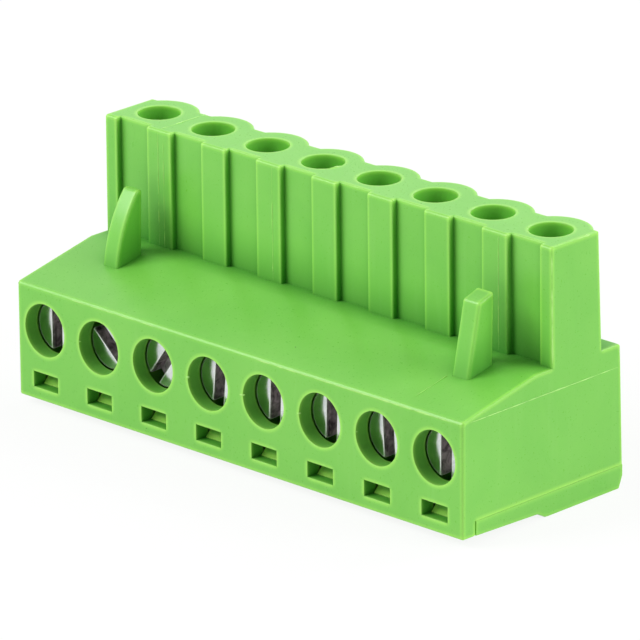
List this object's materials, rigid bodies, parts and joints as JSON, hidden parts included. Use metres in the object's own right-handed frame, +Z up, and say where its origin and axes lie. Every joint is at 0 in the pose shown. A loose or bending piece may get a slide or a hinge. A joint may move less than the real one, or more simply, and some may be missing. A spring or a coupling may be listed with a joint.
{
  "type": "pluggable terminal block",
  "caption": "Green plug-in screw terminal block: rising-cage clamps behind round screw holes, an upright socket tower with keyed front and lobed back, and latch prongs.",
  "frame": {"origin": "middle of the footprint, on the wire-entry face the block rests on", "axes": "+X along the row of poles, to the right seen from the screws; +Y from the screw face to the back; +Z up towards the pin sockets"},
  "size_m": [0.0406, 0.0152, 0.0182],
  "materials": {
    "housing_plastic": "satin moulded polyamide",
    "cover_plastic": "satin moulded polyamide",
    "screw_metal": "nickel plated",
    "cage_metal": "nickel plated",
    "contact_metal": "tin plated copper alloy"
  },
  "bodies": {
    "block": {"housing": "housing_plastic", "wire_cover": "cover_plastic", "contact_1": "contact_metal", "contact_2": "contact_metal", "contact_3": "contact_metal", "contact_4": "contact_metal", "contact_5": "contact_metal", "contact_6": "contact_metal", "contact_7": "contact_metal", "contact_8": "contact_metal"},
    "screw_1": {"screw_1": "screw_metal"},
    "cage_1": {"clamp_cage_1": "cage_metal"},
    "screw_2": {"screw_2": "screw_metal"},
    "cage_2": {"clamp_cage_2": "cage_metal"},
    "screw_3": {"screw_3": "screw_metal"},
    "cage_3": {"clamp_cage_3": "cage_metal"},
    "screw_4": {"screw_4": "screw_metal"},
    "cage_4": {"clamp_cage_4": "cage_metal"},
    "screw_5": {"screw_5": "screw_metal"},
    "cage_5": {"clamp_cage_5": "cage_metal"},
    "screw_6": {"screw_6": "screw_metal"},
    "cage_6": {"clamp_cage_6": "cage_metal"},
    "screw_7": {"screw_7": "screw_metal"},
    "cage_7": {"clamp_cage_7": "cage_metal"},
    "screw_8": {"screw_8": "screw_metal"},
    "cage_8": {"clamp_cage_8": "cage_metal"}
  },
  "joints": [
    {"name": "screw_1_turn", "type": "hinge", "parent": "block", "child": "screw_1", "pos_m": [-0.01778, -0.00544, 0.00564], "axis": [0, 1, 0], "range_deg": [0, 2160]},
    {"name": "cage_1_rise", "type": "slide", "parent": "block", "child": "cage_1", "axis": [0, 1, 0], "range_m": [-0.003, 0]},
    {"name": "screw_2_turn", "type": "hinge", "parent": "block", "child": "screw_2", "pos_m": [-0.0127, -0.00544, 0.00564], "axis": [0, 1, 0], "range_deg": [0, 2160]},
    {"name": "cage_2_rise", "type": "slide", "parent": "block", "child": "cage_2", "axis": [0, 1, 0], "range_m": [-0.003, 0]},
    {"name": "screw_3_turn", "type": "hinge", "parent": "block", "child": "screw_3", "pos_m": [-0.00762, -0.00544, 0.00564], "axis": [0, 1, 0], "range_deg": [0, 2160]},
    {"name": "cage_3_rise", "type": "slide", "parent": "block", "child": "cage_3", "axis": [0, 1, 0], "range_m": [-0.003, 0]},
    {"name": "screw_4_turn", "type": "hinge", "parent": "block", "child": "screw_4", "pos_m": [-0.00254, -0.00544, 0.00564], "axis": [0, 1, 0], "range_deg": [0, 2160]},
    {"name": "cage_4_rise", "type": "slide", "parent": "block", "child": "cage_4", "axis": [0, 1, 0], "range_m": [-0.003, 0]},
    {"name": "screw_5_turn", "type": "hinge", "parent": "block", "child": "screw_5", "pos_m": [0.00254, -0.00544, 0.00564], "axis": [0, 1, 0], "range_deg": [0, 2160]},
    {"name": "cage_5_rise", "type": "slide", "parent": "block", "child": "cage_5", "axis": [0, 1, 0], "range_m": [-0.003, 0]},
    {"name": "screw_6_turn", "type": "hinge", "parent": "block", "child": "screw_6", "pos_m": [0.00762, -0.00544, 0.00564], "axis": [0, 1, 0], "range_deg": [0, 2160]},
    {"name": "cage_6_rise", "type": "slide", "parent": "block", "child": "cage_6", "axis": [0, 1, 0], "range_m": [-0.003, 0]},
    {"name": "screw_7_turn", "type": "hinge", "parent": "block", "child": "screw_7", "pos_m": [0.0127, -0.00544, 0.00564], "axis": [0, 1, 0], "range_deg": [0, 2160]},
    {"name": "cage_7_rise", "type": "slide", "parent": "block", "child": "cage_7", "axis": [0, 1, 0], "range_m": [-0.003, 0]},
    {"name": "screw_8_turn", "type": "hinge", "parent": "block", "child": "screw_8", "pos_m": [0.01778, -0.00544, 0.00564], "axis": [0, 1, 0], "range_deg": [0, 2160]},
    {"name": "cage_8_rise", "type": "slide", "parent": "block", "child": "cage_8", "axis": [0, 1, 0], "range_m": [-0.003, 0]}
  ],
  "couplings": [
    {"joint": "screw_1_turn", "follows": "cage_1_rise", "rad_per_m": -12566},
    {"joint": "screw_2_turn", "follows": "cage_2_rise", "rad_per_m": -12566},
    {"joint": "screw_3_turn", "follows": "cage_3_rise", "rad_per_m": -12566},
    {"joint": "screw_4_turn", "follows": "cage_4_rise", "rad_per_m": -12566},
    {"joint": "screw_5_turn", "follows": "cage_5_rise", "rad_per_m": -12566},
    {"joint": "screw_6_turn", "follows": "cage_6_rise", "rad_per_m": -12566},
    {"joint": "screw_7_turn", "follows": "cage_7_rise", "rad_per_m": -12566},
    {"joint": "screw_8_turn", "follows": "cage_8_rise", "rad_per_m": -12566}
  ]
}
